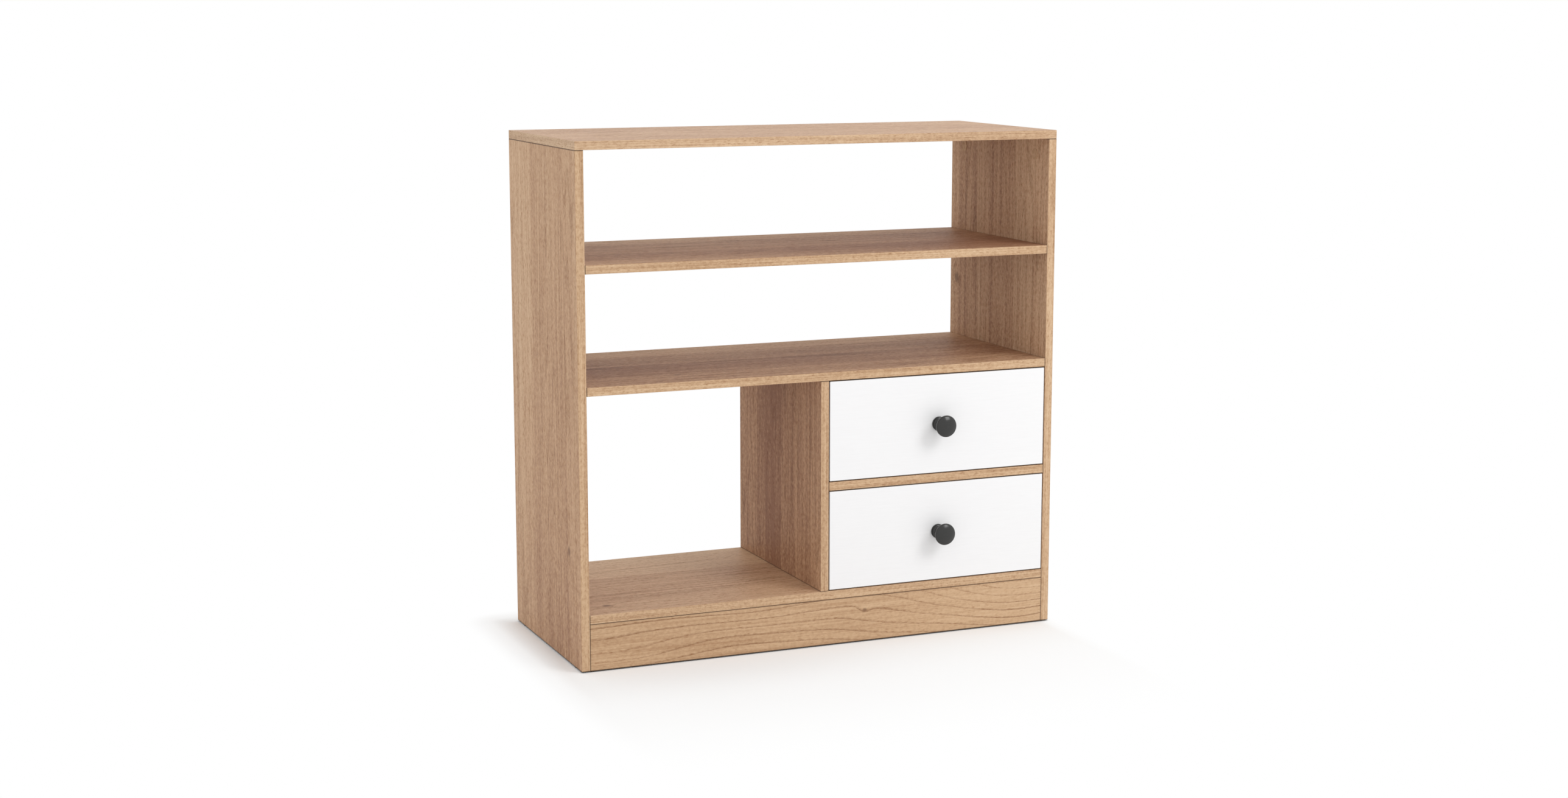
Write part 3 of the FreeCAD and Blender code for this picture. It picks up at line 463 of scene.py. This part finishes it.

# Each board's axis of the grain, seed of its noise, axes with dark joint lines of painted shade at both ends,
# and print
BOARDS = {
    "left_side_panel": ("z", 1.3, "z", left_grain),
    "right_side_panel": ("z", 5.9, "z", right_grain),
    "centre_divider": ("z", 9.2, "z", divider_grain),
    "top_panel": ("x", 14.6, "", top_grain),
    "upper_shelf": ("x", 19.4, "x", upper_grain),
    "middle_shelf": ("x", 24.7, "x", middle_grain),
    "bottom_shelf": ("x", 28.3, "x", bottom_grain),
    "drawer_rail": ("x", 33.1, "x", plain_grain),
    "front_plinth": ("x", 37.8, "xz", front_grain),
    "rear_plinth": ("x", 42.5, "xz", rear_grain),
    "cam_covers": ("z", 47.2, "", cover_grain),
    "drawer_bay_back": ("z", 52.9, "", plain_grain),
}
for board, (along, seed, jointed, grain) in BOARDS.items():
    dress(board, oak(board, along, seed, jointed, grain))


# White boards of the drawers

WHITE_SHADES = [(0.25, colour(239, 239, 240)), (0.75, colour(242, 242, 243))]
# Grey painted shade for the fronts' thin edges, in the gaps round them
GAP_SHADE_BAND = colour(205, 204, 201)
BRUSHED = {"scales": (22.0, 22.0, 620.0), "detail": 3.0, "roughness": 0.6}
CLOUDS = {"scales": (4.0, 4.0, 4.0)}
CLOUD_SHARE = 0.3
GAP_SHADE_TILT = (0.7, 0.3)
FOIL_ROUGHNESS = 0.47
BRUSHED_ROUGHNESS = 0.14
FOIL_BUMP = 0.04


def white_foil(name, gap_shaded):
    """White foil with a fine brushed print; its thin edges take a grey painted shade, which darkens the gaps,
    if the second argument is true.
    """
    shader = Shader(name)
    brushed = shader.noise(shader.place, **BRUSHED)
    tone = shader.vary(brushed, shader.noise(shader.place, **CLOUDS), CLOUD_SHARE)
    shade = shader.ramp(tone, WHITE_SHADES)
    # Painted shade: grey on the thin edges, which darkens the gaps round the drawer fronts
    if gap_shaded:
        facing = shader.math("ABSOLUTE", shader.parts(shader.normal)["y"])
        shade = shader.mix(shader.ease(facing, *GAP_SHADE_TILT), shade, GAP_SHADE_BAND)
    rough = shader.vary(FOIL_ROUGHNESS, brushed, BRUSHED_ROUGHNESS)
    normal = shader.bump(brushed, FOIL_BUMP)
    return shader.finish(Base_Color=shade, Roughness=rough, Normal=normal)


front_foil_gap_shade = white_foil("front_foil_gap_shade", True)
box_foil = white_foil("box_foil", False)
for drawer in ("upper_drawer", "lower_drawer"):
    dress(drawer + "_front", front_foil_gap_shade)
    for side in ("left_side", "right_side", "back", "bottom"):
        dress(f"{drawer}_{side}", box_foil)


# Painted knobs and runners, and moulded rollers and glides

PEEL_SHADE = 0.93
PEEL_RANGE = (0.3, 0.7)
PEEL_ROUGHNESS = 0.12
PEEL_BUMP = 0.06


def satin_paint(name, shade, waves, roughness, sheen=0.5):
    """One colour with the faint orange-peel of a sprayed coat or a mould, in waves per metre."""
    shader = Shader(name)
    peel = shader.noise(shader.place, (waves, waves, waves))
    red, green, blue, cover = shade
    darker = (PEEL_SHADE * red, PEEL_SHADE * green, PEEL_SHADE * blue, cover)
    tint = shader.ramp(peel, list(zip(PEEL_RANGE, (darker, shade))))
    rough = shader.vary(roughness, peel, PEEL_ROUGHNESS)
    normal = shader.bump(peel, PEEL_BUMP)
    return shader.finish(Base_Color=tint, Roughness=rough, Specular_IOR_Level=sheen, Normal=normal)


knob_paint = satin_paint("knob_paint", colour(51, 51, 50), 700.0, 0.19, sheen=0.36)
runner_paint = satin_paint("runner_paint", colour(222, 222, 218), 500.0, 0.4)
roller_plastic = satin_paint("roller_plastic", colour(233, 232, 226), 300.0, 0.48)
glide_plastic = satin_paint("glide_plastic", colour(62, 54, 49), 400.0, 0.55)


# Zinc-plated fasteners

ZINC_SHADES = [(0.3, colour(172, 174, 178)), (0.7, colour(208, 209, 210))]
SPANGLE = {"scales": (260.0, 260.0, 260.0), "detail": 3.0, "roughness": 0.65}
ZINC_ROUGHNESS = 0.32
SPANGLE_ROUGHNESS = 0.2
ZINC_BUMP = 0.1


def zinc():
    shader = Shader("zinc_plate")
    spangle = shader.noise(shader.place, **SPANGLE)
    shade = shader.ramp(spangle, ZINC_SHADES)
    rough = shader.vary(ZINC_ROUGHNESS, spangle, SPANGLE_ROUGHNESS)
    normal = shader.bump(spangle, ZINC_BUMP)
    return shader.finish(Base_Color=shade, Roughness=rough, Metallic=1.0, Normal=normal)


# Beech dowels

BEECH_SHADES = [(0.35, colour(190, 156, 118)), (0.65, colour(214, 184, 146))]
BEECH_FLECKS = {"scales": (420.0, 420.0, 420.0), "detail": 3.0, "roughness": 0.6}
BEECH_ROUGHNESS = 0.6
BEECH_BUMP = 0.2


def beech():
    shader = Shader("beech")
    flecks = shader.noise(shader.place, **BEECH_FLECKS)
    shade = shader.ramp(flecks, BEECH_SHADES)
    normal = shader.bump(flecks, BEECH_BUMP)
    return shader.finish(Base_Color=shade, Roughness=BEECH_ROUGHNESS, Normal=normal)


# Materials of the hardware, by the endings of the nodes' names

zinc_plate = zinc()
dowel_wood = beech()
HARDWARE = [
    (("knob",), knob_paint),
    (("runner", "channel"), runner_paint),
    (("roller",), roller_plastic),
    (("screw", "screws", "cams", "bolts"), zinc_plate),
    (("dowels",), dowel_wood),
    (("foot_glides",), glide_plastic),
]
for node in nodes:
    for endings, material in HARDWARE:
        if node.endswith(endings):
            dress(node, material)


# White surroundings, for the floor and the sky

def seen_directly(tree):
    """1 for rays from the camera, a mirror or glass, and 0 for the light that they gather."""
    path = tree.nodes.new("ShaderNodeLightPath")
    total = path.outputs["Is Camera Ray"]
    for kind in ("Is Glossy Ray", "Is Transmission Ray"):
        both = tree.nodes.new("ShaderNodeMath")
        both.operation = "MAXIMUM"
        tree.links.new(total, both.inputs[0])
        tree.links.new(path.outputs[kind], both.inputs[1])
        total = both.outputs[0]
    return total


# Floor

# Its half width, its corners in half widths, and its paint as a linear colour
FLOOR_HALF = 30.0
FLOOR_CORNERS = ((-1, -1), (1, -1), (1, 1), (-1, 1))
FLOOR_PAINT = (0.93, 0.925, 0.915, 1.0)

# How far the painted shade round the bookcase reaches in front, on the left and behind, and on the right, and
# its shift to the left
SHADE_FRONT = 0.6
SHADE_SIDE = 0.08
SHADE_RIGHT = 0.04
SHADE_SHIFT = 0.022

# The start, end and share of each step in which the painted shade fades to white, and the soft edge of the
# dark gap
FLOOR_STEPS = [(-0.28, 0.1, 0.28), (0.0, 0.4, 0.37), (0.2, 1.0, 0.35)]
UNDER_EDGE = 0.003


def past_edges(shader, shift):
    """Metres past the left, right, front and rear of the bookcase, with its sides moved left by shift."""
    place = shader.parts(shader.place)
    low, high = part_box("top_panel")
    left = shader.math("SUBTRACT", low.x - shift, place["x"])
    right = shader.math("SUBTRACT", place["x"], high.x - shift)
    front = shader.math("SUBTRACT", low.y, place["y"])
    rear = shader.math("SUBTRACT", place["y"], high.y)
    return left, right, front, rear


def from_footprint(shader):
    """0 on the outline of the bookcase, below it inside, and 1 where its shade on the floor ends.

    The shade is painted, by holding back the floor's white glow, and lies a little to the left of the
    bookcase, away from the lamp.
    """
    past = past_edges(shader, SHADE_SHIFT)
    widths = (SHADE_SIDE, SHADE_RIGHT, SHADE_FRONT, SHADE_SIDE)
    left, right, front, rear = (shader.math("DIVIDE", *pair) for pair in zip(past, widths))
    sideways = shader.largest(left, right)
    deep = shader.largest(front, rear)
    inside = shader.math("MINIMUM", shader.largest(sideways, deep), 0.0)
    outside = shader.vector(shader.largest(sideways, 0.0), shader.largest(deep, 0.0), 0.0)
    length = shader.add("ShaderNodeVectorMath", {0: outside}, operation="LENGTH")
    return shader.math("ADD", inside, length.outputs["Value"])


def clear_of_base(shader):
    """0 under the bookcase, where the gap below its base is dark, and 1 just outside it."""
    return shader.ease(shader.largest(*past_edges(shader, 0.0)), 0.0, UNDER_EDGE)


def floor_material():
    """Pale matt paint that keeps the object's shadow and fades to white round it, with a painted shade near
    it.
    """
    shader = Shader("floor_paint")
    distance = from_footprint(shader)
    glow = 0.0
    for start, end, step in FLOOR_STEPS:
        glow = shader.math("ADD", glow, shader.ease(distance, start, end, high=step))
    # Painted shade: the white glow is held back round the bookcase, so the matt floor shows grey there even
    # where no shadow falls
    glow = shader.math("MULTIPLY", glow, clear_of_base(shader))
    glow = shader.math("MULTIPLY", glow, seen_directly(shader.tree))
    matt = shader.add("ShaderNodeBsdfDiffuse", {"Color": FLOOR_PAINT})
    white_glow = shader.add("ShaderNodeEmission", {"Color": WHITE, "Strength": 1.0})
    surface = shader.add("ShaderNodeMixShader", {0: glow, 1: matt.outputs[0], 2: white_glow.outputs[0]})
    shader.tree.links.new(surface.outputs[0], shader.output.inputs["Surface"])
    return shader.material


def make_floor():
    mesh = bpy.data.meshes.new("floor")
    corners = [(x * FLOOR_HALF, y * FLOOR_HALF, 0.0) for x, y in FLOOR_CORNERS]
    mesh.from_pydata(corners, [], [(0, 1, 2, 3)])
    mesh.materials.append(floor_material())
    floor = bpy.data.objects.new("floor", mesh)
    bpy.context.scene.collection.objects.link(floor)


make_floor()


# Light

# Strength of the sky as light and as backdrop, and place, size and power of the lamp in metres and watts
SKY_LEVEL = 0.85
BACKDROP_LEVEL = 1.0
LAMP_PLACE = (1.9, -2.9, 2.9)
LAMP_SIZE = 1.6
LAMP_POWER = 50.0


def white_background(tree, level):
    background = tree.nodes.new("ShaderNodeBackground")
    background.inputs["Color"].default_value = WHITE
    background.inputs["Strength"].default_value = level
    return background.outputs[0]


def make_sky():
    """A soft white sky as the light, with a white backdrop where it is seen."""
    world = bpy.data.worlds.new("studio")
    bpy.context.scene.world = world
    world.use_nodes = True
    tree = world.node_tree
    tree.nodes.clear()
    choice = tree.nodes.new("ShaderNodeMixShader")
    output = tree.nodes.new("ShaderNodeOutputWorld")
    tree.links.new(seen_directly(tree), choice.inputs[0])
    tree.links.new(white_background(tree, SKY_LEVEL), choice.inputs[1])
    tree.links.new(white_background(tree, BACKDROP_LEVEL), choice.inputs[2])
    tree.links.new(choice.outputs[0], output.inputs["Surface"])


def aim(item, target):
    direction = Vector(target) - item.location
    item.rotation_mode = "QUATERNION"
    item.rotation_quaternion = direction.to_track_quat("-Z", "Y")


def make_lamp():
    """A square lamp to the front right, aimed at the middle of the object."""
    lamp = bpy.data.lights.new("key_lamp", "AREA")
    lamp.shape = "SQUARE"
    lamp.size = LAMP_SIZE
    lamp.energy = LAMP_POWER
    item = bpy.data.objects.new("key_lamp", lamp)
    bpy.context.scene.collection.objects.link(item)
    item.location = LAMP_PLACE
    aim(item, (cad_low + cad_high) / 2)


make_sky()
make_lamp()


# Camera, at the photograph's viewing angle

# Lens and sensor in millimetres, turn to the right, dip below the level, and place in metres
LENS = 54.2
SENSOR = 36.0
TURN = math.radians(22.896)
DIP = math.radians(9.462)
CAMERA_PLACE = (-1.6425, -3.876, 1.1188)


def make_camera():
    data = bpy.data.cameras.new("camera")
    data.lens = LENS
    data.sensor_fit = "HORIZONTAL"
    data.sensor_width = SENSOR
    camera = bpy.data.objects.new("camera", data)
    bpy.context.scene.collection.objects.link(camera)
    camera.location = CAMERA_PLACE
    forward = Vector((math.sin(TURN) * math.cos(DIP), math.cos(TURN) * math.cos(DIP), -math.sin(DIP)))
    aim(camera, camera.location + forward)
    bpy.context.scene.camera = camera


make_camera()
bpy.context.scene.view_settings.view_transform = "Standard"
